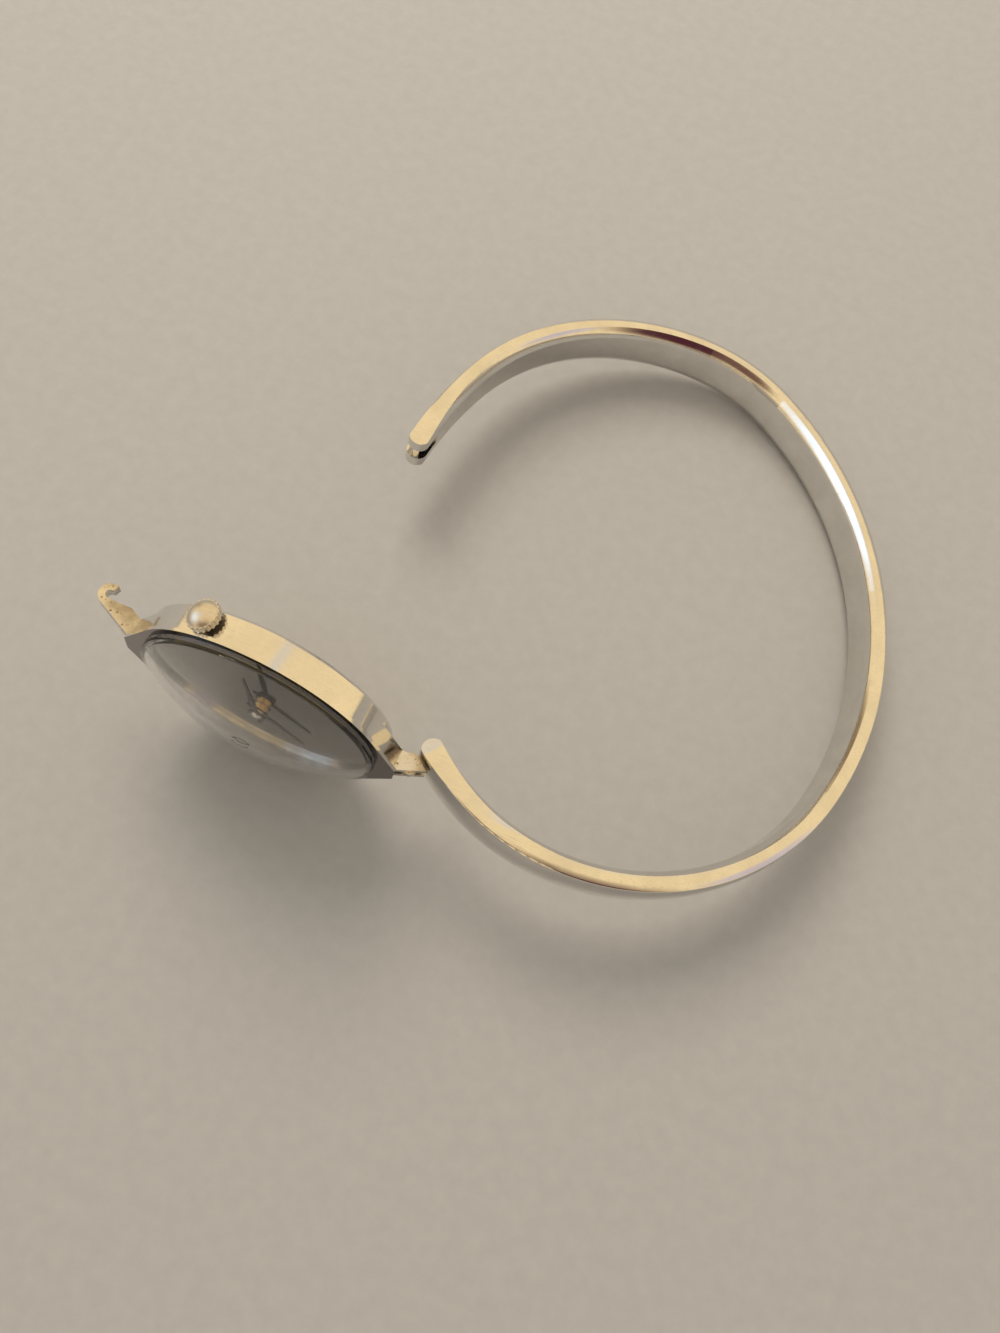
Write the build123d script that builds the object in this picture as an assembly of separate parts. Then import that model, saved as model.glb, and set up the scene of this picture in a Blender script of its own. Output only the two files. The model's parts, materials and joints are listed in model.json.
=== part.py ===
"""A bangle watch: a sprung bangle with a flat inner face, open at one side, with a small round
hand-wound watch hinged to one end and hooked into the other. It lies on its side with the head swung open.

Three frames are used. The watch frame has its origin at the centre of the flange's front face, +Z out
of the dial and +X towards the hinge. The bangle frame has its origin on the hinge pin, X along the
head's long axis and Z along the pin. The row frame is the bangle frame laid down on the floor.
"""
from build123d import *
import math
import os

# Clearances
running_gap = 0.04        # radial gap of a pin or shaft that turns
seat_gap = 0.02           # gap between pieces that are fitted together
mesh_gap = 0.03           # gap between the tips of wheels that mesh
overrun = 1.0             # how far a cutter passes the face that it cuts

# Bangle
band_width = 6.2          # across the section, along the hinge pin
band_thickness = 2.4      # from the flat inner face to the middle of the slightly domed outer face
band_bevel = 1.3          # width of the rounded bevel along each edge of the flat inner face
band_bevel_rise = 0.12    # how far that bevel swells out of its chord
band_shoulder = 0.75      # height of the section's widest point above the inner face
band_top = 1.4            # width of the top and bottom faces, from that point to the outer face
band_top_drop = 0.5       # how far those faces fall back towards the outside
band_top_rise = 0.1       # how far they swell out of their chord
band_edge_round = 0.3
end_height = 4.2          # of both ends, along the hinge pin
end_taper_length = 12.0   # over which each end narrows to that height
band_radii = (22.4, 24.72, 37.92, 36.99, 19.14, 24.95, 53.74)    # inner face, hinge end to free end
band_turns = (41.2, 69.6, 38.6, 40.2, 30.7, 70.4, 11.5)          # degrees that each arc turns
band_start_angle = -36.34 # heading of the band as it leaves the hinge, degrees from the X axis
slot_width = 1.5          # gap between the two prongs of the fork
slot_length = 3.2         # from the tip of the prongs to the bottom of the slot
catch_pin_radius = 0.35
catch_pin_setback = 0.95  # from the tip of the prongs to the pin's centre

# Hinge
hinge_pin_radius = 0.4
knuckle_radius = 0.85
knuckle_length = 0.9      # along the pin
knuckle_neck = 1.2        # width of the neck between the barrel and the band
pivot_standoff = 1.2      # from the band's outside to the pin's centre
pivot_setback = 0.1       # from the end of the curved band to a point level with the pin
pivot_reach = 1.07        # from the flange's point out to the pin
pivot_back = 1.5          # from the flange's front face back to the pin
ear_height = 2.2          # along the pin, over both ears
ear_nose_reach = 1.68     # front corner of the ears, out from the pin
ear_nose_back = 1.55
ear_heel_inset = 0.12     # rear corner of the ears, in from the pin
ear_heel_back = 2.7
ear_root_reach = 0.15     # where the rear of the ears meets the lug, out from the flange's point
ear_slot_depth = 1.2      # from the pin's centre to the slot's blind wall

# Case
case_wall = 0.8
flange_overhang = 0.3     # of the flange past the case wall
flange_thickness = 0.35
point_reach = 1.25        # of the flange's two blunt points past its round edge
point_half = 1.3          # half the height of those points
case_depth = 2.65         # from the flange's front to the joint with the case back
lug_depth = 2.4           # of the two pointed lugs behind the flange's points
back_thickness = 0.75
back_floor_recess = 0.35
back_spigot_height = 0.36
back_spigot_wall = 0.9
back_edge_width = 0.9     # of the rounded edge of the case back
back_edge_rise = 0.45     # its height
gasket_width = 0.3
gasket_depth = 0.2
gasket_inset = 0.2        # metal between the case's bore and the gasket of its back

# Crystal and dial
crystal_inset = 0.5       # from the case wall's outside in to the crystal's edge
crystal_wall = 0.8
crystal_side = 0.6        # height of the crystal's upright side above the flange
crystal_top = 3.9         # height of the dome above the flange
crystal_seat_depth = 0.3
ledge_thickness = 0.15
dial_thickness = 0.25
dial_hole_radius = 0.95
dial_foot_radius = 0.3
dial_foot_inset = 0.8     # of the two dial feet from the movement's edge
dial_foot_angles = (90, -110)   # of the feet, from the stem

# Hands
hour_hand_length = 6.2
minute_hand_length = 9.3
hand_thickness = 0.14
hour_hand_width = 0.75
minute_hand_width = 0.6
hand_tip_width = 0.14
hand_boss_radius = 0.95
hour_hand_level = 0.1     # underside of the hour hand above the flange's front face
minute_hand_level = 0.45
hand_cap_rise = 0.3       # of the cannon pinion's round end above the minute hand
shown_hour = 7
shown_minute = 14
twelve_angle = 180.0      # twelve o'clock lies at the hook end

# Movement
plate_margin = 0.3        # of the plate's edge outside the balance
ring_width = 2.2          # of the ring between the movement and the case
plate_thickness = 0.95
train_space = 0.62        # between the main plate and the bridges
bridge_thickness = 0.4
stem_depth = 1.85         # the winding stem's axis behind the flange's front face
crown_angle = 117.0       # the stem's direction in the watch frame
dial_side_recess = 0.3
wheel_thickness = 0.12
arbor_radius = 0.18
pivot_depth = 0.1         # how far a dial-side wheel's arbor goes into the plate
pivot_radius = 0.09
jewel_radius = 0.42
jewel_thickness = 0.25
wall_clear = 0.15         # room that a turning wheel has inside a pocket
pocket_end_gap = 0.1      # room at each end of a pinion on the stem
tooth_share = 0.55        # of the pitch, the width of a tooth at its root
tooth_height_share = 0.5  # height of a tooth over its pitch
window_place_share = 0.55 # of a wheel's radius, where its round windows lie
window_share = 0.22       # of a wheel's radius, the radius of a window

centre_wheel_radius = 3.3
centre_pinion_radius = 0.65
barrel_radius = 4.2
barrel_drum_radius = 3.9
barrel_wall = 0.22
barrel_web = 0.15         # plate left between the barrel's pocket and the dial-side recess
barrel_overhang = 0.25    # how far the barrel stands out of the plate towards the bridge
barrel_lid_thickness = 0.1
barrel_core_radius = 0.85
barrel_arbor_radius = 0.5
barrel_angle = 58.0
third_wheel_radius = 2.6
third_pinion_radius = 0.5
third_angle = 180.0
fourth_wheel_radius = 2.3
fourth_pinion_radius = 0.45
fourth_angle = -60.0
escape_wheel_radius = 1.6
escape_pinion_radius = 0.4
escape_angle = -20.0
balance_radius = 3.0
balance_rim = 0.35
balance_place = 6.6       # from the movement's centre to the balance staff
balance_angle = -75.0
roller_radius = 0.5
impulse_pin_radius = 0.07
impulse_pin_place = 0.36
pallet_reach = 1.95       # from the escape wheel's centre to the pallet arbor
pallet_arm_width = 0.24
pallet_stone_clear = 0.1
pallet_spread = 34.0      # half the angle that the pallets span round the escape wheel
hairspring_start = 0.42
hairspring_turns = 8
hairspring_pitch = 0.12
hairspring_strip = 0.03
hairspring_height = 0.1
mainspring_start = 0.95
mainspring_turns = 7
mainspring_pitch = 0.36
mainspring_strip = 0.09
cannon_radius = 0.7
cannon_tube_radius = 0.55
minute_wheel_radius = 2.1
minute_pinion_radius = 0.56
minute_angle = -25.0
hour_pipe_wall = 0.2
setting_wheel_radius = 0.75
setting_angle = 14.0
centre_arbor_radius = 0.3
stem_radius = 0.35
stem_inner_end = 4.7      # from the movement's centre to the stem's inner end
groove_inset = 1.15       # from the movement's edge in to the groove that the setting lever holds
groove_width = 0.34
groove_radius = 0.2
winding_pinion_radius = 0.7
winding_pinion_place = 6.6
winding_pinion_length = 1.15
sliding_pinion_radius = 0.62
sliding_pinion_place = 5.15
sliding_pinion_length = 1.35
crown_wheel_radius = 2.3
crown_wheel_place = 4.6
lever_inset = 2.3         # from the movement's edge in to the setting lever's screw
lever_pivot_y = 2.4
lever_width = 0.9
lever_pin_radius = 0.1
screw_radius = 0.3
screw_head_radius = 0.55
screw_head_height = 0.18
screw_slot = 0.12
ratchet_screw_radius = 0.8
cock_width = 2.0
pallet_bridge_width = 1.0
click_width = 0.5
click_spring_width = 0.14
click_spring_reach = 1.1

# Teeth and leaves
barrel_teeth = 48
centre_leaves = 8
centre_teeth = 48
third_teeth = 45
fourth_teeth = 60
leaves = 6
escape_teeth = 15
cannon_leaves = 12
minute_teeth = 36
minute_leaves = 10
hour_teeth = 40
setting_teeth = 13
keyless_teeth = 12
winding_teeth = 36
ratchet_teeth = 36
wheel_windows = 5
escape_windows = 4
balance_arms = 3

# Crown
crown_radius = 1.6
crown_length = 0.65       # of the knurled rim
crown_rise = 0.8          # of the dome outside the knurled rim
crown_standoff = 0.1      # from the flange's edge to the crown's inner face, pushed in
crown_grooves = 20
crown_groove_depth = 0.16
crown_flute_radius = 0.2
crown_travel = 0.8        # how far it pulls out to set the hands
tube_radius = 0.5
tube_engagement = 0.6     # length of the tube inside the crown
crown_bore_radius = 0.8   # the hollow in the crown that takes the tube and its gasket
crown_bore_depth = 0.85

# Hook
hook_root_half = 1.0      # half the hook block's height at the lug
hook_tongue_half = 0.6    # half the height of the hook itself
hook_reach = 3.75         # from the flange's point out to the centre of the hook's mouth
hook_eye_back = 3.5
hook_eye_radius = 0.45
hook_wall = 0.7
hook_tip_angle = 75.0
hook_root_angle = 243.0
hook_heel_back = 3.1      # rear corner of the hook block
hook_heel_reach = 1.1     # that corner, out from the flange's point

# Lying on the floor
rest_azimuth = 46.0       # direction in the bangle's plane in which it slopes down to the floor
steepest_tilt = 45.0
rest_steps = 40           # steps along each arc, and halvings, in finding how it lies
rim_steps = 180

# Sizes that follow from the ones above, from the movement outwards
movement_radius = balance_place + balance_radius + plate_margin
groove_place = movement_radius - groove_inset
lever_pivot_x = movement_radius - lever_inset
dial_foot_place = movement_radius - dial_foot_inset
case_bore_radius = movement_radius + ring_width
drum_radius = case_bore_radius + case_wall
flange_radius = drum_radius + flange_overhang
flange_point = flange_radius + point_reach
lug_end = drum_radius + point_reach
gasket_radius = case_bore_radius + gasket_inset
crystal_radius = drum_radius - crystal_inset
ledge_radius = crystal_radius - crystal_wall
dial_radius = case_bore_radius - seat_gap * 3
crown_start = flange_radius + crown_standoff
tube_start = case_bore_radius + seat_gap
tube_end = crown_start + tube_engagement
pivot_out = flange_point + pivot_reach
ear_nose_out = pivot_out + ear_nose_reach
ear_heel_out = pivot_out - ear_heel_inset
ear_root_out = flange_point + ear_root_reach
hook_eye_out = flange_point + hook_reach
hook_heel_out = flange_point + hook_heel_reach

# Levels behind the flange's front face, in the watch frame
ledge_back = -(crystal_seat_depth + ledge_thickness)
dial_front = ledge_back - seat_gap
dial_back = dial_front - dial_thickness
plate_front = dial_back - seat_gap
recess_floor = plate_front - dial_side_recess
plate_back = plate_front - plate_thickness
bridge_front = plate_back - train_space
bridge_back = bridge_front - bridge_thickness
level_low = plate_back - wheel_thickness / 2 - seat_gap * 2
level_mid = (plate_back + bridge_front) / 2
level_high = bridge_front + wheel_thickness / 2 + seat_gap * 3
winding_level = bridge_back - wheel_thickness / 2 - seat_gap
spring_level = bridge_front - hairspring_height
cock_front = spring_level - 2 * hairspring_height
cock_back = cock_front - bridge_thickness * 3 / 4
motion_front = plate_front - wheel_thickness / 2 - seat_gap / 2
motion_back = recess_floor + wheel_thickness / 2 + seat_gap
barrel_top = recess_floor - barrel_web
barrel_low = plate_back - barrel_overhang
barrel_flange_top = plate_back - running_gap

parts = {}


def polar(radius, angle):
    """A point at a radius and an angle in degrees."""
    return (radius * math.cos(math.radians(angle)), radius * math.sin(math.radians(angle)))


def shift(point, offset):
    """The sum of two plane points."""
    return (point[0] + offset[0], point[1] + offset[1])


def disc(place, radius, low, high):
    """An upright cylinder round a plane point, between two levels."""
    return extrude(Plane.XY.offset(low) * Pos(*place) * Circle(radius), high - low)


def ring(place, inside, outside, low, high):
    """An upright tube round a plane point."""
    return disc(place, outside, low, high) - disc(place, inside, low - overrun, high + overrun)


def prism(points, low, high):
    """An upright prism over a polygon given by its corners."""
    outline = make_face(Polyline(*points, close=True))
    return extrude(Plane.XY.offset(low) * outline, high - low)


def bar(start, end, width, low, high):
    """A flat bar with round ends between two plane points."""
    dx = end[0] - start[0]
    dy = end[1] - start[1]
    length = math.hypot(dx, dy)
    middle = ((start[0] + end[0]) / 2, (start[1] + end[1]) / 2)
    outline = Pos(*middle) * Rot(0, 0, math.degrees(math.atan2(dy, dx))) * SlotCenterToCenter(length, width)
    return extrude(Plane.XY.offset(low) * outline, high - low)


def toothed(radius, teeth):
    """The outline of a wheel: straight-sided teeth whose tips lie on the radius."""
    pitch = 2 * math.pi * radius / teeth
    root = radius - pitch * tooth_height_share
    step = 360 / teeth
    half = step * tooth_share / 2
    points = []
    for tooth in range(teeth):
        middle = tooth * step
        points += [polar(root, middle - half), polar(radius, middle - half / 2)]
        points += [polar(radius, middle + half / 2), polar(root, middle + half)]
    return make_face(Polyline(*points, close=True))


def wheel(place, radius, teeth, level, windows):
    """A flat toothed wheel with round windows between its spokes."""
    low = level - wheel_thickness / 2
    body = extrude(Plane.XY.offset(low) * Pos(*place) * toothed(radius, teeth), wheel_thickness)
    for n in range(windows):
        at = shift(place, polar(radius * window_place_share, 360 * n / windows))
        body -= disc(at, radius * window_share, low - overrun, low + wheel_thickness + overrun)
    return body


def pinion(place, radius, leaves, low, high):
    """A small toothed wheel as long as its arbor needs."""
    return extrude(Plane.XY.offset(low) * Pos(*place) * toothed(radius, leaves), high - low)


def arbor(place, low, high):
    """An arbor with a thin pivot at each end, in jewels."""
    reach = jewel_thickness * 2 / 3
    body = disc(place, arbor_radius, low, high)
    return body + disc(place, pivot_radius, low - reach, high + reach)


def half_turn_spiral(start, pitch, turns, strip, low, high):
    """A flat spring: half circles, each wider than the last by half the pitch, joined end to end."""
    body = None
    for half in range(2 * turns):
        radius = start + half * pitch / 2
        side = 1 if half % 2 == 0 else -1
        centre = 0 if half % 2 == 0 else pitch / 2
        band = Circle(radius + strip / 2) - Circle(radius - strip / 2)
        reach = 2 * radius
        window = Pos(0, side * reach / 2) * Rectangle(2 * reach, reach)
        arc = extrude(Plane.XY.offset(low) * Pos(centre, 0) * (band & window), high - low)
        body = arc if body is None else body + arc
    return body


def arc_step(point, heading, radius, turn):
    """The centre, end point and end heading of an arc that turns left."""
    centre = shift(point, polar(radius, heading + 90))
    end = shift(centre, polar(radius, heading - 90 + turn))
    return centre, end, heading + turn


def band_profile(point, heading):
    """The section, standing across the band: flat inner face to the left, domed outer face to the right."""
    half = band_width / 2
    flat_half = half - band_bevel
    section = Plane(
        origin=(point[0], point[1], 0),
        x_dir=(*polar(1, heading - 90), 0),
        z_dir=(*polar(1, heading), 0),
    )
    chord = math.hypot(band_shoulder, band_bevel)
    swell_x = band_shoulder / 2 - band_bevel_rise * band_bevel / chord
    swell_y = half - band_bevel / 2 + band_bevel_rise * band_shoulder / chord
    side = band_shoulder + band_top
    side_half = half - band_top_drop
    top_chord = math.hypot(band_top, band_top_drop)
    top_x = band_shoulder + band_top / 2 + band_top_rise * band_top_drop / top_chord
    top_y = half - band_top_drop / 2 + band_top_rise * band_top / top_chord
    outline = Line((0, -flat_half), (0, flat_half))
    outline += ThreePointArc((0, flat_half), (swell_x, swell_y), (band_shoulder, half))
    outline += ThreePointArc((band_shoulder, half), (top_x, top_y), (side, side_half))
    outline += ThreePointArc((side, side_half), (band_thickness, 0), (side, -side_half))
    outline += ThreePointArc((side, -side_half), (top_x, -top_y), (band_shoulder, -half))
    outline += ThreePointArc((band_shoulder, -half), (swell_x, -swell_y), (0, -flat_half))
    face = make_face(outline)
    corners = face.vertices().sort_by(Axis.X)[-4:]
    face = fillet(corners, band_edge_round)
    return section * face


def round_end(point, heading, ahead):
    """A short straight end of the band, rounded in plan, ahead of or behind a section."""
    middle = shift(point, polar(band_thickness / 2, heading - 90))
    stub = extrude(band_profile(point, heading), ahead * band_thickness / 2)
    return stub & disc(middle, band_thickness / 2, -band_width, band_width)


def end_tapers(point, heading):
    """The two wedges that narrow the band towards an end, seen along a heading that leads into it."""
    along = Plane(
        origin=(point[0], point[1], 0),
        x_dir=(*polar(1, heading), 0),
        z_dir=(*polar(1, heading - 90), 0),
    )
    half = band_width / 2
    low = end_height / 2
    middle = (end_taper_length / 2, low + (half - low) * 3 / 4)
    line = ThreePointArc((0, low), middle, (end_taper_length, half))
    line += Polyline((end_taper_length, half), (end_taper_length, 2 * half), (-band_thickness, 2 * half),
                     (-band_thickness, low), (0, low))
    wedge = extrude(along * make_face(line), 2 * band_thickness, both=True)
    return wedge + mirror(wedge, Plane.XY)


def place_band():
    """The start of the inner face, so that the hinge pin comes out at the origin."""
    out = polar(band_thickness + pivot_standoff, band_start_angle + 90)
    return shift(out, polar(-pivot_setback, band_start_angle))


def band_solid():
    """The band, arc by arc; also returns the free end's point and heading."""
    point = place_band()
    heading = band_start_angle
    body = round_end(point, heading, -1)
    for radius, turn in zip(band_radii, band_turns):
        centre, end, ahead = arc_step(point, heading, radius, turn)
        axis = Axis((centre[0], centre[1], 0), (0, 0, 1))
        body += revolve(band_profile(point, heading), axis, turn)
        point = end
        heading = ahead
    body += round_end(point, heading, 1)
    body -= end_tapers(place_band(), band_start_angle)
    body -= end_tapers(point, heading + 180)
    return body, point, heading


def make_bangle():
    """The band with its fork, the hinge knuckle on its outside and the pin across the fork."""
    band, point, heading = band_solid()
    tip = shift(point, polar(band_thickness / 2, heading))
    middle = shift(tip, polar(band_thickness / 2, heading - 90))
    slot = Pos(*middle) * Rot(0, 0, heading) * Box(2 * slot_length, 2 * band_thickness + overrun, slot_width)
    pin_at = shift(middle, polar(-catch_pin_setback, heading))
    pin_half = end_height / 2 - seat_gap
    pin = disc(pin_at, catch_pin_radius, -pin_half, pin_half)
    parts["bangle_band"] = band - (slot + pin)
    parts["catch_pin"] = pin

    neck_length = pivot_standoff + band_thickness / 2
    neck_middle = polar(neck_length / 2, band_start_angle + 90)
    neck = Pos(*neck_middle) * Rot(0, 0, band_start_angle) * Box(knuckle_neck, neck_length, knuckle_length)
    half = knuckle_length / 2
    knuckle = disc((0, 0), knuckle_radius, -half, half) + neck
    knuckle -= disc((0, 0), hinge_pin_radius + running_gap, -band_width, band_width)
    parts["hinge_knuckle"] = knuckle - band
    return pin_at


def pointed_disc(radius, half, low, high):
    """A disc drawn out to two blunt points whose flanks run off it as tangents."""
    point = radius + point_reach
    away = math.hypot(point, half)
    angle = math.degrees(math.acos(radius / away) + math.atan2(half, point))
    x, y = polar(radius, angle)
    body = disc((0, 0), radius, low, high)
    for side in (1, -1):
        corners = [(side * point, half), (side * x, y), (side * x, -y), (side * point, -half)]
        body += prism(corners, low, high)
    return body


def flange_outline():
    """The thin front plate of the case."""
    return pointed_disc(flange_radius, point_half, -flange_thickness, 0)


def case_wall_line():
    """The stem's line through the case wall, as a plane whose normal points out along it."""
    direction = polar(1, crown_angle)
    return Plane(origin=(0, 0, -stem_depth), x_dir=(0, 0, 1), z_dir=(*direction, 0))


def along_stem(radius, start, end):
    """A cylinder on the stem's line, between two distances from the dial's centre."""
    return extrude(case_wall_line().offset(start) * Circle(radius), end - start)


def make_case():
    """The case with its flange, the snap back and its gasket, and the crown tube."""
    body = flange_outline() + disc((0, 0), drum_radius, -case_depth, -flange_thickness)
    body += pointed_disc(drum_radius, point_half - flange_overhang / 2, -lug_depth, -flange_thickness)
    body -= disc((0, 0), crystal_radius + seat_gap, -crystal_seat_depth, overrun)
    body -= disc((0, 0), ledge_radius, ledge_back - overrun, overrun)
    body -= disc((0, 0), case_bore_radius, -case_depth - overrun, ledge_back)
    body -= ring((0, 0), gasket_radius - seat_gap, gasket_radius + gasket_width + seat_gap,
                 -case_depth - overrun, -case_depth + gasket_depth + seat_gap)
    body -= along_stem(tube_radius, case_bore_radius - overrun, drum_radius + overrun)
    parts["case_body"] = body
    parts["case_back_gasket"] = ring((0, 0), gasket_radius, gasket_radius + gasket_width,
                                     -case_depth + seat_gap / 2, -case_depth + gasket_depth)

    low = -case_depth - back_thickness
    start = (drum_radius - back_edge_width, low)
    end = (drum_radius, low + back_edge_rise)
    middle = shift(start, (back_edge_width * 2 / 3, back_edge_rise / 4))
    back = make_face(
        Polyline((0, low), start)
        + ThreePointArc(start, middle, end)
        + Polyline(end, (drum_radius, -case_depth), (0, -case_depth), (0, low))
    )
    back = revolve(Plane.XZ * back, Axis.Z, 360)
    spigot = case_bore_radius - seat_gap
    back += ring((0, 0), spigot - back_spigot_wall, spigot, -case_depth - back_floor_recess,
                 -case_depth + back_spigot_height)
    back -= disc((0, 0), spigot - back_spigot_wall, -case_depth - back_floor_recess, overrun)
    parts["case_back"] = back
    tube = along_stem(tube_radius, tube_start, tube_end)
    bore = along_stem(stem_radius + running_gap, tube_start - overrun, tube_end + overrun)
    parts["crown_tube"] = tube - bore


def make_crystal():
    """The domed acrylic crystal, pressed into its seat in the flange."""
    inner = crystal_radius - crystal_wall
    low = -crystal_seat_depth
    side_in = crystal_side - crystal_wall / 2
    top_in = crystal_top - crystal_wall
    outline = (
        Polyline((inner, side_in), (inner, low), (crystal_radius, low), (crystal_radius, crystal_side))
        + ThreePointArc((crystal_radius, crystal_side), dome_point(crystal_radius, crystal_side, crystal_top),
                        (0, crystal_top))
        + Line((0, crystal_top), (0, top_in))
        + ThreePointArc((0, top_in), dome_point(inner, side_in, top_in), (inner, side_in))
    )
    parts["crystal"] = revolve(Plane.XZ * make_face(outline), Axis.Z, 360)


def dome_point(radius, side, top):
    """A point half way out on the shallow arc from a dome's edge to its top."""
    rise = top - side
    sphere = (radius ** 2 + rise ** 2) / (2 * rise)
    x = radius / 2
    return (x, top - sphere + math.sqrt(sphere ** 2 - x ** 2))


def make_hook():
    """The clasp: a block that narrows to a tongue, curled back into an open hook."""
    eye = (-hook_eye_out, hook_eye_back)
    wall = hook_eye_radius + hook_wall
    front = shift(eye, polar(wall, hook_root_angle))
    under_eye = (-hook_eye_out, hook_eye_back - hook_eye_radius)
    outline = make_face(Polyline((-lug_end, flange_thickness), front, eye, under_eye,
                                 (-hook_heel_out, hook_heel_back), (-lug_end, lug_depth), close=True))
    curl = Pos(*eye) * (Circle(wall) - Circle(hook_eye_radius))
    sector_points = [eye]
    steps = 4
    for n in range(steps + 1):
        angle = hook_tip_angle + (hook_root_angle - hook_tip_angle) * n / steps
        sector_points.append(shift(eye, polar(wall * 2, angle)))
    sector = make_face(Polyline(*sector_points, close=True))
    outline = outline + (curl & sector) - Pos(*eye) * Circle(hook_eye_radius)
    body = extrude(outline, hook_root_half, both=True)
    body = turned_back(body)
    reach = hook_eye_out + wall
    taper_end = hook_eye_out - hook_eye_radius
    plan = [(-lug_end, hook_root_half), (-taper_end, hook_tongue_half), (-reach, hook_tongue_half)]
    plan += [(x, -y) for x, y in reversed(plan)]
    body = body & prism(plan, -2 * hook_eye_back, overrun)
    parts["clasp_hook"] = body - flange_outline()


def turned_back(body):
    """Turns a shape drawn as length and depth behind the flange into the watch frame."""
    return Rot(-90, 0, 0) * body


def make_ears():
    """The two hinge ears, in one block soldered to the case's lug, and the pin through them."""
    outline = [(lug_end, flange_thickness), (flange_point, flange_thickness), (ear_nose_out, ear_nose_back),
               (ear_heel_out, ear_heel_back), (ear_root_out, lug_depth), (lug_end, lug_depth)]
    half = ear_height / 2
    body = extrude(make_face(Polyline(*outline, close=True)), half, both=True)
    slot_half = knuckle_length / 2 + running_gap
    slot_start = pivot_out - ear_slot_depth
    length = ear_nose_out - slot_start + overrun
    body -= Pos(slot_start + length / 2, 0, 0) * Box(length, 4 * ear_heel_back, 2 * slot_half)
    pin = disc((pivot_out, pivot_back), hinge_pin_radius, -half, half)
    body -= disc((pivot_out, pivot_back), hinge_pin_radius, -ear_height, ear_height)
    parts["hinge_ears"] = turned_back(body) - flange_outline()
    parts["hinge_pin"] = turned_back(pin)


def hand(length, width, angle, level, hole):
    """A thin leaf hand with a round boss."""
    leaf = [(0, -width / 4), (length / 3, -width / 2), (length, -hand_tip_width / 2)]
    leaf += [(x, -y) for x, y in reversed(leaf)]
    tail = [(0, -width / 4), (-length / 4, -width / 4), (-length / 4, width / 4), (0, width / 4)]
    body = prism(leaf, level, level + hand_thickness) + prism(tail, level, level + hand_thickness)
    body += disc((0, 0), hand_boss_radius, level, level + hand_thickness)
    body -= disc((0, 0), hole, level - overrun, level + overrun)
    return Rot(0, 0, angle) * body


def make_dial():
    """The mirror dial with its two feet, and the two hands."""
    dial = disc((0, 0), dial_radius, dial_back, dial_front)
    dial -= disc((0, 0), dial_hole_radius, dial_back - overrun, overrun)
    for place in foot_places():
        dial += disc(place, dial_foot_radius, dial_back - dial_side_recess, dial_back)
    parts["dial"] = dial
    minute_angle_shown = twelve_angle - shown_minute * 6
    hour_angle_shown = twelve_angle - (shown_hour + shown_minute / 60) * 30
    pipe = cannon_tube_radius + running_gap + hour_pipe_wall
    parts["hour_hand"] = hand(hour_hand_length, hour_hand_width, hour_angle_shown, hour_hand_level, pipe)
    parts["minute_hand"] = hand(minute_hand_length, minute_hand_width, minute_angle_shown, minute_hand_level,
                                cannon_tube_radius)


def foot_places():
    """The two dial feet, in the watch frame."""
    return [polar(dial_foot_place, crown_angle + angle) for angle in dial_foot_angles]


# Places of the movement's arbors, in a frame whose X axis is the stem
centre_at = (0.0, 0.0)
barrel_at = polar(barrel_radius + centre_pinion_radius + mesh_gap, barrel_angle)
third_at = polar(centre_wheel_radius + third_pinion_radius + mesh_gap, third_angle)
fourth_at = shift(third_at, polar(third_wheel_radius + fourth_pinion_radius + mesh_gap, fourth_angle))
escape_at = shift(fourth_at, polar(fourth_wheel_radius + escape_pinion_radius + mesh_gap, escape_angle))
balance_at = polar(balance_place, balance_angle)
pallet_line = math.degrees(math.atan2(balance_at[1] - escape_at[1], balance_at[0] - escape_at[0]))
pallet_at = shift(escape_at, polar(pallet_reach, pallet_line))
motion_distance = cannon_radius + minute_wheel_radius + mesh_gap
minute_at = polar(motion_distance, minute_angle)
hour_wheel_radius = motion_distance - minute_pinion_radius - mesh_gap
setting_at = shift(minute_at, polar(minute_wheel_radius + setting_wheel_radius + mesh_gap, setting_angle))
crown_wheel_at = (crown_wheel_place, 0.0)
ratchet_radius = math.dist(crown_wheel_at, barrel_at) - crown_wheel_radius - mesh_gap
lever_pivot = (lever_pivot_x, lever_pivot_y)
lever_pin_at = (groove_place, 0.0)
lever_arm = math.dist(lever_pivot, lever_pin_at)
lever_heading = math.degrees(math.atan2(-lever_pivot_y, groove_place - lever_pivot_x))
lever_turn = math.degrees(crown_travel / lever_arm)   # while the crown is pulled out

# Outlines of the bridges, as shares of the movement's radius
barrel_bridge_shares = [(1.1, -0.17), (0.3, -0.17), (0.12, 0.13), (-0.22, 0.25), (-0.22, 1.1), (1.1, 1.1)]
train_bridge_shares = [(0.09, 0.1), (0.2, -0.05), (0.16, -0.44), (-0.1, -0.5), (-0.42, -0.55), (-0.75, -0.66),
                       (-1.1, -0.3), (-1.1, 0.35), (-0.25, 0.2)]
cock_foot_share = (0.65, -0.56)
pallet_foot_share = (-0.2, -0.6)
rim_share = 0.93          # where a bridge's foot starts, of the movement's radius
train_foot_share = 0.7
bridge_screw_shares = [(0.33, 0.88), (0.93, -0.11), (-0.86, 0.1), (-0.72, -0.42)]
click_share = (-0.1, 0.7)


def scaled(shares):
    """Shares of the movement's radius as plane points."""
    return [(x * movement_radius, y * movement_radius) for x, y in shares]


cock_foot = scaled([cock_foot_share])[0]
pallet_foot = scaled([pallet_foot_share])[0]
click_at = scaled([click_share])[0]
bridge_screws = scaled(bridge_screw_shares)
train_places = [third_at, fourth_at, escape_at]


def stem_piece(radius, start, end):
    """A cylinder on the stem's axis, in the movement's frame."""
    line = Plane(origin=(start, 0, -stem_depth), x_dir=(0, 0, 1), z_dir=(1, 0, 0))
    return extrude(line * Circle(radius), end - start)


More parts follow.
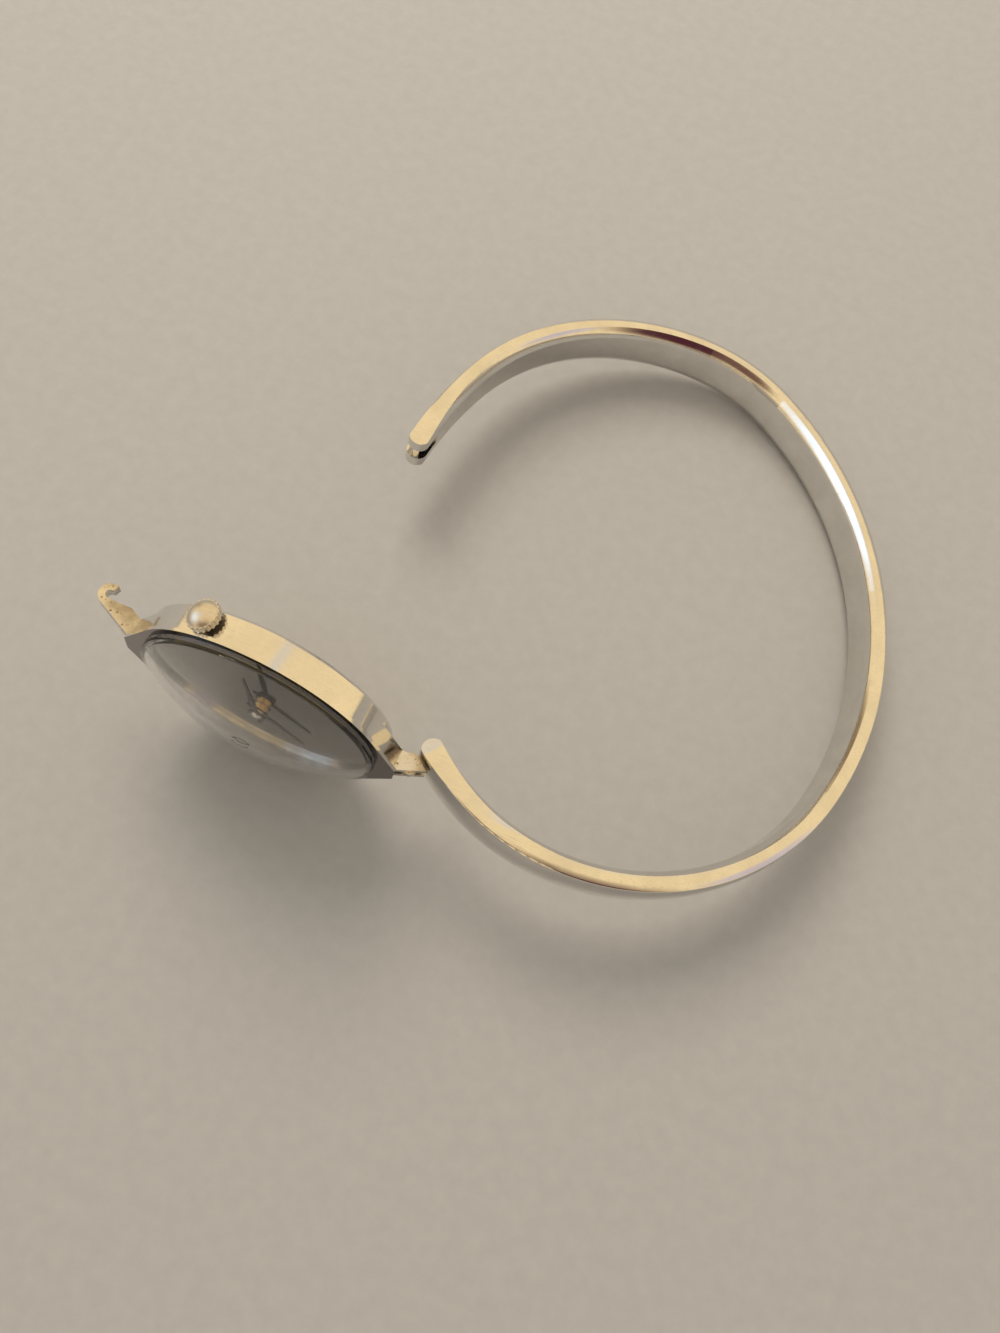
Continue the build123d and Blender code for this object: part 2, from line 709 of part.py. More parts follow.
def stem_pocket(radius, start, end):
    """The pocket round a pinion on the stem, open to both sides of it."""
    middle = (start + end) / 2
    length = end - start + 2 * pocket_end_gap
    width = 2 * (radius + wall_clear / 2)
    return Pos(middle, 0, -stem_depth) * Box(length, width, width)


def keyless_pockets():
    """The room that the stem and its two pinions need in the plate and the bridge."""
    winding_end = winding_pinion_place + winding_pinion_length
    sliding_end = sliding_pinion_place + sliding_pinion_length
    room = stem_pocket(winding_pinion_radius, winding_pinion_place, winding_end)
    room += stem_pocket(sliding_pinion_radius, sliding_pinion_place, sliding_end)
    return room + stem_piece(stem_radius + running_gap, stem_inner_end - seat_gap, movement_radius + overrun)


def make_plate():
    """The main plate, with its recesses, and the holes for jewels, feet and screws."""
    body = disc(centre_at, movement_radius, plate_back, plate_front)
    for place, radius in ((centre_at, hour_wheel_radius), (minute_at, minute_wheel_radius),
                          (setting_at, setting_wheel_radius)):
        body -= disc(place, radius + wall_clear, recess_floor, overrun)
    for turn in (0, lever_turn / 2, lever_turn):
        pulled = shift(lever_pivot, polar(lever_arm, lever_heading + turn))
        body -= bar(lever_pivot, pulled, lever_width + 2 * wall_clear, recess_floor, overrun)
    pin_room = 4 * lever_pin_radius + wall_clear
    body -= bar(lever_pin_at, pulled, pin_room, plate_back - overrun, overrun)
    body -= disc(barrel_at, barrel_drum_radius + wall_clear, plate_back - overrun, barrel_top + running_gap)
    body -= disc(barrel_at, arbor_radius + running_gap, plate_back, barrel_top + plate_thickness / 3)
    body -= keyless_pockets()
    body -= disc(centre_at, centre_arbor_radius + running_gap, plate_back - overrun, overrun)
    for place in train_places + [pallet_at, balance_at]:
        body -= disc(place, jewel_radius, plate_back - overrun, plate_back + jewel_thickness)
    for place in bridge_screws + [cock_foot, pallet_foot]:
        body -= disc(place, screw_radius, plate_back - overrun, plate_back + plate_thickness / 2)
    for place in foot_places():
        hole = disc(place, dial_foot_radius + seat_gap, recess_floor - seat_gap, overrun)
        body -= Rot(0, 0, -crown_angle) * hole
    for place in (minute_at, setting_at, lever_pivot):
        body -= disc(place, arbor_radius + running_gap, recess_floor - pivot_depth, overrun)
    parts["main_plate"] = body


def sink_screw(body, place, back):
    """Cuts a screw's hole and the sunk seat of its head through a bridge, from its back."""
    body -= disc(place, screw_radius, back - overrun, plate_back)
    return body - disc(place, screw_head_radius + seat_gap, back - overrun, back + screw_head_height)


def slotted_screw(place, back, tip, head_radius):
    """A slotted screw whose head ends level with a bridge's back."""
    screw = disc(place, head_radius, back, back + screw_head_height)
    screw += disc(place, screw_radius, back + screw_head_height, tip)
    slot = Pos(*place, back) * Box(3 * head_radius, screw_slot, screw_head_height)
    return screw - slot


def make_bridges():
    """The barrel bridge, train bridge, balance cock and pallet bridge, with their screws and jewels."""
    round_plate = disc(centre_at, movement_radius - seat_gap, bridge_back, plate_back)
    body = prism(scaled(barrel_bridge_shares), bridge_back, plate_back) & round_plate
    body -= disc(centre_at, movement_radius * rim_share, bridge_front, plate_back + overrun)
    body -= keyless_pockets()
    body -= disc(barrel_at, barrel_arbor_radius + running_gap, bridge_back - overrun, bridge_front + overrun)
    for place in (crown_wheel_at, click_at):
        body -= disc(place, arbor_radius, bridge_back - overrun, bridge_front + overrun)
    for place in bridge_screws[:2]:
        body = sink_screw(body, place, bridge_back)
    parts["barrel_bridge"] = body

    body = prism(scaled(train_bridge_shares), bridge_back, plate_back) & round_plate
    body -= disc(centre_at, movement_radius * train_foot_share, bridge_front, plate_back + overrun)
    spring_reach = hairspring_start + hairspring_turns * hairspring_pitch + wall_clear
    body -= disc(balance_at, spring_reach, bridge_back - overrun, plate_back + overrun)
    for place in [centre_at] + train_places:
        body -= disc(place, jewel_radius, bridge_front - jewel_thickness, bridge_front + overrun)
    for place in bridge_screws[2:]:
        body = sink_screw(body, place, bridge_back)
    parts["train_bridge"] = body

    body = bar(balance_at, cock_foot, cock_width, cock_back, cock_front)
    body += disc(cock_foot, cock_width / 2, cock_front, plate_back)
    body -= disc(balance_at, jewel_radius, cock_front - jewel_thickness, cock_front + overrun)
    parts["balance_cock"] = sink_screw(body, cock_foot, cock_back)

    pallet_back = level_mid - wheel_thickness / 2
    body = bar(pallet_at, pallet_foot, pallet_bridge_width, pallet_back, pallet_back + wheel_thickness)
    body += disc(pallet_foot, pallet_bridge_width / 2, pallet_back, plate_back)
    body -= disc(pallet_at, pivot_radius + seat_gap, pallet_back - overrun, plate_back)
    body -= disc(pallet_foot, screw_radius, pallet_back - overrun, plate_back + overrun)
    parts["pallet_bridge"] = body

    tip = plate_back + plate_thickness / 2
    screws = [slotted_screw(place, bridge_back, tip, screw_head_radius) for place in bridge_screws]
    screws.append(slotted_screw(cock_foot, cock_back, tip, screw_head_radius))
    screws.append(slotted_screw(pallet_foot, pallet_back - screw_head_height, tip, screw_head_radius))
    parts["bridge_screws"] = Compound(children=screws)

    jewels = []
    for place in train_places + [pallet_at, balance_at]:
        jewels.append(jewel(place, plate_back))
    for place in [centre_at] + train_places:
        jewels.append(jewel(place, bridge_front - jewel_thickness))
    jewels.append(jewel(balance_at, cock_front - jewel_thickness))
    parts["jewels"] = Compound(children=jewels)


def jewel(place, low):
    """A jewel: a small ring in which a pivot turns."""
    return ring(place, pivot_radius + seat_gap, jewel_radius, low, low + jewel_thickness)


def make_train():
    """The going train, from the barrel to the escape wheel."""
    top = plate_back - seat_gap
    low = bridge_front + seat_gap
    drum = disc(barrel_at, barrel_drum_radius, barrel_low, barrel_top)
    teeth = pinion(barrel_at, barrel_radius, barrel_teeth, barrel_low, barrel_flange_top)
    room = barrel_drum_radius - barrel_wall
    drum = drum + teeth - disc(barrel_at, room, barrel_flange_top, barrel_top + overrun)
    hole = disc(barrel_at, barrel_arbor_radius + running_gap, barrel_low - overrun, barrel_top)
    parts["barrel_drum"] = drum - hole
    lid_low = barrel_top - barrel_lid_thickness
    parts["barrel_lid"] = ring(barrel_at, arbor_radius + running_gap, room - seat_gap, lid_low, barrel_top)
    core_low = barrel_flange_top + seat_gap
    core_top = lid_low - seat_gap
    shaft = disc(barrel_at, barrel_core_radius, core_low, core_top)
    shaft += disc(barrel_at, arbor_radius, core_top, barrel_top + plate_thickness / 4)
    shaft += disc(barrel_at, barrel_arbor_radius, winding_level - wheel_thickness / 2, core_low)
    bore = disc(barrel_at, arbor_radius, winding_level - overrun, barrel_low)
    parts["barrel_arbor"] = shaft - bore
    spring = half_turn_spiral(mainspring_start, mainspring_pitch, mainspring_turns, mainspring_strip,
                              core_low + seat_gap, core_top - seat_gap)
    parts["mainspring"] = Pos(*barrel_at, 0) * spring

    gear = wheel(centre_at, centre_wheel_radius, centre_teeth, level_high, wheel_windows)
    gear += pinion(centre_at, centre_pinion_radius, centre_leaves, level_high, top)
    gear += disc(centre_at, centre_arbor_radius, low, minute_hand_level - running_gap)
    gear += disc(centre_at, pivot_radius, low - jewel_thickness * 2 / 3, low)
    parts["centre_wheel"] = gear
    gear = wheel(third_at, third_wheel_radius, third_teeth, level_low, wheel_windows)
    gear += arbor(third_at, low, top)
    parts["third_wheel"] = gear + pinion(third_at, third_pinion_radius, leaves, low, level_mid)
    gear = wheel(fourth_at, fourth_wheel_radius, fourth_teeth, level_mid, wheel_windows)
    gear += arbor(fourth_at, low, top)
    parts["fourth_wheel"] = gear + pinion(fourth_at, fourth_pinion_radius, leaves, level_mid, top)
    gear = wheel(escape_at, escape_wheel_radius, escape_teeth, level_low, escape_windows)
    gear += arbor(escape_at, low, top)
    gear += pinion(escape_at, escape_pinion_radius, leaves, level_mid - wheel_thickness, top)
    parts["escape_wheel"] = gear


def make_escapement():
    """The pallet fork, the balance with its roller, and the hairspring."""
    low = level_low - wheel_thickness / 2
    high = low + wheel_thickness
    reach = math.dist(pallet_at, balance_at) - impulse_pin_place + impulse_pin_radius
    fork_end = shift(pallet_at, polar(reach, pallet_line))
    body = bar(pallet_at, fork_end, pallet_arm_width, low, high)
    for side in (1, -1):
        stone_at = shift(escape_at, polar(escape_wheel_radius + pallet_stone_clear + pallet_arm_width / 2,
                                          pallet_line + side * pallet_spread))
        body += bar(pallet_at, stone_at, pallet_arm_width, low, high)
    body -= disc(fork_end, impulse_pin_radius + seat_gap, low - overrun, high + overrun)
    body += disc(pallet_at, arbor_radius, level_mid + wheel_thickness / 2 + seat_gap, plate_back - seat_gap)
    pivot_top = plate_back + jewel_thickness * 2 / 3
    body += disc(pallet_at, pivot_radius, level_mid - wheel_thickness / 2, pivot_top)
    parts["pallet_fork"] = body

    low = level_high - wheel_thickness / 2
    rim = ring(balance_at, balance_radius - balance_rim, balance_radius, low, low + wheel_thickness)
    for arm in range(balance_arms):
        end = shift(balance_at, polar(balance_radius - balance_rim / 2, 360 * arm / balance_arms))
        rim += bar(balance_at, end, balance_rim, low, low + wheel_thickness)
    staff = arbor(balance_at, cock_front + seat_gap, plate_back - seat_gap)
    parts["balance_wheel"] = rim + staff
    table_low = level_low - wheel_thickness / 2 - seat_gap - wheel_thickness / 2
    table = ring(balance_at, arbor_radius, roller_radius, table_low, table_low + wheel_thickness / 2)
    pin_at = shift(balance_at, polar(impulse_pin_place, pallet_line + 180))
    parts["roller"] = table + disc(pin_at, impulse_pin_radius, table_low, plate_back - seat_gap * 2)
    coil = half_turn_spiral(hairspring_start, hairspring_pitch, hairspring_turns, hairspring_strip,
                            spring_level - hairspring_height, spring_level)
    parts["hairspring"] = Pos(*balance_at, 0) * coil


def make_motion_work():
    """The cannon pinion, hour wheel, minute wheel and setting wheel under the dial."""
    half = wheel_thickness / 2
    cannon = pinion(centre_at, cannon_radius, cannon_leaves, motion_back - half, motion_back + half)
    cannon += disc(centre_at, cannon_tube_radius, motion_back, minute_hand_level + hand_thickness)
    cannon -= disc(centre_at, centre_arbor_radius, recess_floor - overrun, minute_hand_level)
    cannon += Pos(0, 0, minute_hand_level + hand_thickness) * round_cap(cannon_tube_radius, hand_cap_rise)
    parts["cannon_pinion"] = cannon
    inside = cannon_tube_radius + running_gap
    pipe_top = hour_hand_level + hand_thickness
    gear = wheel(centre_at, hour_wheel_radius, hour_teeth, motion_front, 0)
    gear += disc(centre_at, inside + hour_pipe_wall, motion_front, pipe_top)
    parts["hour_wheel"] = gear - disc(centre_at, inside, recess_floor - overrun, 2 * overrun)
    stub_low = recess_floor - pivot_depth + seat_gap
    gear = wheel(minute_at, minute_wheel_radius, minute_teeth, motion_back, 0)
    gear += pinion(minute_at, minute_pinion_radius, minute_leaves, motion_back, motion_front + half)
    parts["minute_wheel"] = gear + disc(minute_at, arbor_radius, stub_low, motion_back)
    gear = wheel(setting_at, setting_wheel_radius, setting_teeth, motion_back, 0)
    parts["setting_wheel"] = gear + disc(setting_at, arbor_radius, stub_low, motion_back)


def make_winding():
    """The stem, its two pinions, the crown wheel, ratchet, click and setting lever."""
    stem = stem_piece(stem_radius, stem_inner_end, crown_start + crown_bore_depth)
    groove_start = groove_place - groove_width / 2
    groove = stem_piece(stem_radius + overrun, groove_start, groove_start + groove_width)
    parts["winding_stem"] = stem - (groove - stem_piece(groove_radius, 0, crown_start))
    for name, radius, place, length in (
        ("winding_pinion", winding_pinion_radius, winding_pinion_place, winding_pinion_length),
        ("sliding_pinion", sliding_pinion_radius, sliding_pinion_place, sliding_pinion_length),
    ):
        line = Plane(origin=(place, 0, -stem_depth), x_dir=(0, 0, 1), z_dir=(1, 0, 0))
        body = extrude(line * toothed(radius, keyless_teeth), length)
        parts[name] = body - stem_piece(stem_radius + seat_gap, place - overrun, place + length + overrun)
    low = winding_level - wheel_thickness / 2
    high = low + wheel_thickness
    gear = pinion(crown_wheel_at, crown_wheel_radius, winding_teeth, low, high)
    hub = screw_head_radius + running_gap
    parts["crown_wheel"] = gear - disc(crown_wheel_at, hub, low - overrun, high + overrun)
    cap = disc(crown_wheel_at, screw_head_radius, low, bridge_back)
    parts["crown_wheel_screw"] = cap + disc(crown_wheel_at, arbor_radius, bridge_back, bridge_front)
    gear = pinion(barrel_at, ratchet_radius, ratchet_teeth, low, high)
    parts["ratchet_wheel"] = gear - disc(barrel_at, barrel_arbor_radius, low - overrun, high + overrun)
    head = disc(barrel_at, ratchet_screw_radius, low - screw_head_height / 2, low)
    parts["ratchet_screw"] = head + disc(barrel_at, arbor_radius, low, barrel_low)
    away = math.dist(click_at, barrel_at)
    toward = math.degrees(math.atan2(barrel_at[1] - click_at[1], barrel_at[0] - click_at[0]))
    tip = shift(click_at, polar(away - ratchet_radius - click_width / 2 - 2 * mesh_gap, toward))
    body = bar(click_at, tip, click_width, low, high)
    parts["click"] = body + disc(click_at, arbor_radius - running_gap, low, bridge_front)
    spring_root = shift(click_at, polar(click_spring_reach, toward + 90))
    spring_tip = shift(tip, polar(click_width / 2 + click_spring_width, toward + 90))
    body = bar(spring_root, spring_tip, click_spring_width, low, high)
    parts["click_spring"] = body + disc(spring_root, click_width / 2, low, bridge_back)

    lever_low = recess_floor + seat_gap
    lever_high = plate_front - seat_gap
    lever = bar(lever_pivot, lever_pin_at, lever_width, lever_low, lever_high)
    lever += disc(lever_pivot, arbor_radius, recess_floor - pivot_depth + seat_gap, lever_low)
    pin_low = -stem_depth + groove_radius + seat_gap * 2
    parts["setting_lever"] = lever + disc(lever_pin_at, lever_pin_radius, pin_low, lever_low)


def make_crown():
    """The knurled crown and its gasket, in the watch frame."""
    grip = extrude(case_wall_line().offset(crown_start) * toothed_knurl(), crown_length)
    outer = case_wall_line().offset(crown_start + crown_length)
    crown = grip + outer.location * round_cap(crown_radius - crown_groove_depth, crown_rise)
    crown -= along_stem(crown_bore_radius, crown_start - overrun, crown_start + crown_bore_depth)
    parts["crown"] = crown
    start = tube_end - gasket_width
    gasket = along_stem(crown_bore_radius - seat_gap, start, tube_end - seat_gap)
    parts["crown_gasket"] = gasket - along_stem(tube_radius + seat_gap, start - overrun, tube_end + overrun)


def round_cap(radius, rise):
    """A shallow dome on the XY plane."""
    outline = Line((0, 0), (radius, 0))
    outline += ThreePointArc((radius, 0), dome_point(radius, 0, rise), (0, rise))
    outline += Line((0, rise), (0, 0))
    return revolve(Plane.XZ * make_face(outline), Axis.Z, 360)


def toothed_knurl():
    """The crown's knurl: flutes cut round the rim."""
    outline = Circle(crown_radius)
    for n in range(crown_grooves):
        at = polar(crown_radius + crown_groove_depth / 2, 360 * n / crown_grooves)
        outline -= Pos(*at) * Circle(crown_flute_radius)
    return outline


def make_ring():
    """The ring that centres the movement in the case."""
    low = -case_depth + back_spigot_height + seat_gap
    body = ring((0, 0), movement_radius + seat_gap, case_bore_radius - seat_gap, low, plate_front)
    body -= along_stem(stem_radius + running_gap, movement_radius - overrun, case_bore_radius + overrun)
    body -= along_stem(tube_radius + seat_gap, tube_start - seat_gap, case_bore_radius + overrun)
    parts["movement_ring"] = body


def band_outline_points():
    """Points along the band's outer shoulder, for finding how it lies on the floor."""
    points = []
    point = place_band()
    heading = band_start_angle
    for radius, turn in zip(band_radii, band_turns):
        centre, end, ahead = arc_step(point, heading, radius, turn)
        for n in range(rest_steps):
            at = shift(centre, polar(radius + band_shoulder, heading - 90 + turn * n / rest_steps))
            points.append((at[0], at[1], -band_width / 2))
        point = end
        heading = ahead
    return points


def flange_rim_points():
    """Points along both edges of the flange, in the bangle frame."""
    points = []
    for n in range(rim_steps):
        x, z = polar(flange_radius, -360 * n / rim_steps)
        for back in (0, flange_thickness):
            points.append((x - pivot_out, back - pivot_back, z))
    return points


def height_over_floor(points, tilt):
    """The lowest of some points, measured along the floor's normal when it tilts by so many degrees."""
    ux, uy = polar(math.sin(math.radians(tilt)), rest_azimuth)
    up = math.cos(math.radians(tilt))
    return min(z * up - x * ux - y * uy for x, y, z in points)


def rest_tilt():
    """The tilt at which the flange's rim and the far side of the band both touch the floor."""
    band = band_outline_points()
    rim = flange_rim_points()
    low = 0.0
    high = steepest_tilt
    for _ in range(rest_steps):
        tilt = (low + high) / 2
        if height_over_floor(rim, tilt) < height_over_floor(band, tilt):
            low = tilt
        else:
            high = tilt
    return low


def build():
    """Makes every piece, lays the object on the floor and writes the files."""
    make_bangle()
    bangle_nodes = set(parts)

    make_plate()
    make_bridges()
    make_train()
    make_escapement()
    make_motion_work()
    make_winding()
    for name in set(parts) - bangle_nodes:
        parts[name] = Rot(0, 0, crown_angle) * parts[name]

    make_case()
    make_crystal()
    make_hook()
    make_ears()
    make_dial()
    make_crown()
    make_ring()
    head = Pos(-pivot_out, -pivot_back, 0) * Rot(90, 0, 0)
    for name in set(parts) - bangle_nodes:
        parts[name] = head * parts[name]

    tilt = rest_tilt()
    lay = Rot(0, 0, rest_azimuth) * Rot(0, tilt, 0) * Rot(0, 0, -rest_azimuth)
    laid = {name: lay * part for name, part in parts.items()}
    boxes = [part.bounding_box() for part in laid.values()]
    middle_x = (min(b.min.X for b in boxes) + max(b.max.X for b in boxes)) / 2
    middle_y = (min(b.min.Y for b in boxes) + max(b.max.Y for b in boxes)) / 2
    drop = min(b.min.Z for b in boxes)
    place = Pos(-middle_x, -middle_y, -drop)
    os.makedirs("parts", exist_ok=True)
    for name, part in sorted(laid.items()):
        export_step(place * part, os.path.join("parts", name + ".step"))
    pin = (place * lay).position
    print("tilt", round(tilt, 3), "hinge pin", tuple(round(v, 4) for v in pin))
    print("nodes", len(laid))


build()
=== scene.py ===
# %% [markdown]
# A bangle watch in metal
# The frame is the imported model: every solid of the watch, in metres, in the place where it was built.
# This script gives each solid its finish, down to the scratches and pits that a solid modeller leaves
# out, and puts the watch on a pale table under soft light. The frame comes first, because all else is
# fitted to it.

# %% Load the frame
import json
import math

import bpy
from mathutils import Matrix, Vector

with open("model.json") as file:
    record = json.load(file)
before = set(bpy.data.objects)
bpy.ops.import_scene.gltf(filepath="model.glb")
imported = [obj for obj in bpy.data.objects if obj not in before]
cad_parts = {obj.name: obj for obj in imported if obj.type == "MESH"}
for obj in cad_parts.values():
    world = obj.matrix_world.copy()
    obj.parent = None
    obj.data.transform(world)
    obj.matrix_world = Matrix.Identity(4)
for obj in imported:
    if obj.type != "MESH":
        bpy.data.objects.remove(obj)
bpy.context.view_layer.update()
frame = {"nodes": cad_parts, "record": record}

slot_of = {entry["node"]: entry["material_slot"] for entry in frame["record"]["subparts"]}

# %% [markdown]
# Small helpers for node trees
# A Blender material is a small network of nodes. Making one by hand takes many clicks, and in code many
# lines, so a few helpers do it. One adds a node with its settings, one joins two sockets, and one feeds
# a socket with either another socket or a plain value or colour.

# %% Node helpers
def add_node(tree, kind, inputs=None, **settings):
    node = tree.nodes.new(kind)
    for name, value in settings.items():
        setattr(node, name, value)
    for name, value in (inputs or {}).items():
        node.inputs[name].default_value = value
    return node


def join(tree, out_socket, in_socket):
    tree.links.new(out_socket, in_socket)


def feed(tree, source, in_socket):
    if isinstance(source, bpy.types.NodeSocket):
        join(tree, source, in_socket)
    elif in_socket.type == "RGBA":
        in_socket.default_value = (*source, 1.0)
    else:
        in_socket.default_value = source


# %% [markdown]
# Four small sums
# Most effects need the same few steps: a value is moved from one range to another, two values are
# combined, or two colours are mixed. The fourth is the dot product of two directions, which is 1 where
# they are the same and falls as they part. A Mix node has sockets for several kinds of data, and many of
# them share a name, so they are reached by their numbers.

# %% Sums
MIX_SOCKETS = {"RGBA": (6, 7, 2), "VECTOR": (4, 5, 1)}   # first input, second input, output


def ranged(tree, value, reach, result=(0.0, 1.0), **settings):
    limits = {"From Min": reach[0], "From Max": reach[1], "To Min": result[0], "To Max": result[1]}
    spread = add_node(tree, "ShaderNodeMapRange", limits, **settings)
    join(tree, value, spread.inputs["Value"])
    return spread.outputs["Result"]


def combined(tree, operation, first, second, **settings):
    node = add_node(tree, "ShaderNodeMath", operation=operation, **settings)
    feed(tree, first, node.inputs[0])
    feed(tree, second, node.inputs[1])
    return node.outputs["Value"]


def dot_product(tree, first, second):
    node = add_node(tree, "ShaderNodeVectorMath", operation="DOT_PRODUCT")
    feed(tree, first, node.inputs[0])
    feed(tree, second, node.inputs[1])
    return node.outputs["Value"]


def mixed(tree, factor, low, high, kind="RGBA"):
    first, second, result = MIX_SOCKETS[kind]
    mix = add_node(tree, "ShaderNodeMix", data_type=kind)
    join(tree, factor, mix.inputs[0])
    feed(tree, low, mix.inputs[first])
    feed(tree, high, mix.inputs[second])
    return mix.outputs[result]


# %% [markdown]
# Node groups
# A node group is a network with named inputs and outputs that several materials can share. Every effect
# of this watch is one: scratches, haze, pits, grain and the mask for the painted shade on the front
# faces.
# Each takes a place or a direction and at most one number, and gives one value between 0 and 1.
# The coordinates of a solid are metres, and a watch is a few centimetres across. Textures are easier to
# think about in millimetres, so the groups first multiply the coordinates by a thousand. Then a scale
# of 2 means two noise blobs in a millimetre.

# %% Group helpers
MILLIMETRES = 1000.0


def start_group(name, vector, numbers, output):
    group = bpy.data.node_groups.new(name, "ShaderNodeTree")
    group.interface.new_socket(vector, in_out="INPUT", socket_type="NodeSocketVector")
    for number, value in numbers.items():
        made = group.interface.new_socket(number, in_out="INPUT", socket_type="NodeSocketFloat")
        made.default_value = value
    group.interface.new_socket(output, in_out="OUTPUT", socket_type="NodeSocketFloat")
    return group, group.nodes.new("NodeGroupInput"), group.nodes.new("NodeGroupOutput")


def end_group(group, end, result):
    join(group, result, end.inputs[0])
    print("group", group.name, "of", len(group.nodes), "nodes")
    return group


def in_millimetres(group, start):
    scaled = add_node(group, "ShaderNodeVectorMath", {"Scale": MILLIMETRES}, operation="SCALE")
    join(group, start.outputs["Vector"], scaled.inputs[0])
    return scaled.outputs["Vector"]


# %% [markdown]
# Fine scratches
# Polished metal that is worn every day gets hair-fine scratches in all directions. One way is an image of
# scratches, but then it needs unwrapping. Here each direction is a noise that is stretched a long way
# along one axis and cut off high, so that only thin lines are left. Three turned copies are laid
# together.

# %% Group for fine scratches
SCRATCH_TURNS = ((0.3, 0.5, 0.2), (1.4, 0.2, 1.1), (0.8, 1.3, 2.2))   # radians
SCRATCH_STRETCH = (0.03, 1.0, 1.0)
SCRATCH_CUT = (0.66, 0.72)


def stretched_noise(group, start, turn, stretch, detail):
    mapping = add_node(group, "ShaderNodeMapping", {"Rotation": turn, "Scale": stretch})
    join(group, in_millimetres(group, start), mapping.inputs["Vector"])
    noise = add_node(group, "ShaderNodeTexNoise", {"Detail": detail})
    join(group, mapping.outputs["Vector"], noise.inputs["Vector"])
    join(group, start.outputs["Fineness"], noise.inputs["Scale"])
    return noise.outputs["Fac"]


def make_scratches():
    group, start, end = start_group("fine scratches", "Vector", {"Fineness": 9.0}, "Lines")
    total = None
    for turn in SCRATCH_TURNS:
        noise = stretched_noise(group, start, turn, SCRATCH_STRETCH, 1.0)
        lines = ranged(group, noise, SCRATCH_CUT)
        total = lines if total is None else combined(group, "MAXIMUM", total, lines)
    return end_group(group, end, total)


scratches = make_scratches()

# %% [markdown]
# Handling haze
# Fingers and skin leave a soft haze on polished metal: broad patches where it is a little less bright and
# a little rougher. A noise with several layers of detail gives the patches, and a range spreads them out.

# %% Group for haze
HAZE_DETAIL = {"Detail": 5.0, "Roughness": 0.6}
HAZE_RANGE = (0.35, 0.7)


def make_haze():
    group, start, end = start_group("handling haze", "Vector", {"Scale": 0.25}, "Haze")
    noise = add_node(group, "ShaderNodeTexNoise", HAZE_DETAIL)
    join(group, in_millimetres(group, start), noise.inputs["Vector"])
    join(group, start.outputs["Scale"], noise.inputs["Scale"])
    return end_group(group, end, ranged(group, noise.outputs["Fac"], HAZE_RANGE))


haze = make_haze()

# %% [markdown]
# Pits
# The hinge and the hook are soldered on and filed by hand. Old solder is pitted, and dirt darkens the
# pits. A Voronoi pattern gives round cells, and only the middle of each is kept, as a small pit. A broad
# noise then leaves some places without any.

# %% Group for pits
PIT_EDGE = (0.12, 0.3)             # from the full depth of a pit to its rim
PIT_PLACES = {"Scale": 1.1, "Detail": 2.0}
PIT_PLACES_CUT = (0.45, 0.6)


def make_pits():
    group, start, end = start_group("solder pits", "Vector", {"Scale": 2.2}, "Pits")
    place = in_millimetres(group, start)
    cells = add_node(group, "ShaderNodeTexVoronoi")
    join(group, place, cells.inputs["Vector"])
    join(group, start.outputs["Scale"], cells.inputs["Scale"])
    middle = ranged(group, cells.outputs["Distance"], PIT_EDGE, (1.0, 0.0))
    patches = add_node(group, "ShaderNodeTexNoise", PIT_PLACES)
    join(group, place, patches.inputs["Vector"])
    where = ranged(group, patches.outputs["Fac"], PIT_PLACES_CUT)
    return end_group(group, end, combined(group, "MULTIPLY", middle, where))


pits = make_pits()

# %% [markdown]
# Brushed grain
# Movement plates and springs are finished with a straight grain. It is the scratch idea again, but one
# direction only, dense, and never cut off, so that the whole surface carries faint lines.

# %% Group for grain
GRAIN_TURN = (0.2, 0.4, 0.9)       # radians
GRAIN_STRETCH = (0.04, 1.0, 1.0)


def make_grain():
    group, start, end = start_group("brushed grain", "Vector", {"Fineness": 14.0}, "Grain")
    noise = stretched_noise(group, start, GRAIN_TURN, GRAIN_STRETCH, 3.0)
    return end_group(group, end, noise)


grain = make_grain()

# %% [markdown]
# One way to make a metal
# All the metals here are the same network with other numbers. Haze and one kind of marks are added up.
# Their sum moves the colour from clean to dull and the roughness from smooth to rough, and the marks also
# give a shallow bump. The Principled shader stays in the material, and everything constant is set on it
# directly.

# %% Metals
MICROMETRES = 0.000001


def new_material(name):
    material = bpy.data.materials.new(name)
    material.use_nodes = True
    print("material", name)
    return material, material.node_tree, material.node_tree.nodes["Principled BSDF"]


def marks_from(tree, group, numbers=None):
    node = add_node(tree, "ShaderNodeGroup", numbers, node_tree=group)
    coordinates = add_node(tree, "ShaderNodeTexCoord")
    join(tree, coordinates.outputs["Object"], node.inputs["Vector"])
    return node.outputs[0]


def worn(tree, shader, wear, clean, dull, smooth, rough):
    join(tree, mixed(tree, wear, clean, dull), shader.inputs["Base Color"])
    join(tree, ranged(tree, wear, (0.0, 1.0), (smooth, rough)), shader.inputs["Roughness"])


def bumped(tree, shader, height, depth, strength):
    bump = add_node(tree, "ShaderNodeBump", {"Strength": strength, "Distance": depth})
    join(tree, height, bump.inputs["Height"])
    join(tree, bump.outputs["Normal"], shader.inputs["Normal"])


def metal(name, marks, clean, dull, smooth, rough, depth, strength):
    material, tree, shader = new_material(name)
    shader.inputs["Metallic"].default_value = 1.0
    marks = marks_from(tree, *marks)
    wear = combined(tree, "ADD", marks_from(tree, haze), marks, use_clamp=True)
    worn(tree, shader, wear, clean, dull, smooth, rough)
    bumped(tree, shader, marks, depth, strength)
    return material


# %% [markdown]
# Polished metal for the band and the case
# The photograph shows a mirror polish with a few fine scratches, so the roughness stays low.

# %% Polished metal
polished = metal(
    "polished silver metal", (scratches, {"Fineness": 9.0}),
    clean=(0.79, 0.775, 0.75), dull=(0.7, 0.68, 0.65), smooth=0.05, rough=0.18,
    depth=-4 * MICROMETRES, strength=0.25,
)

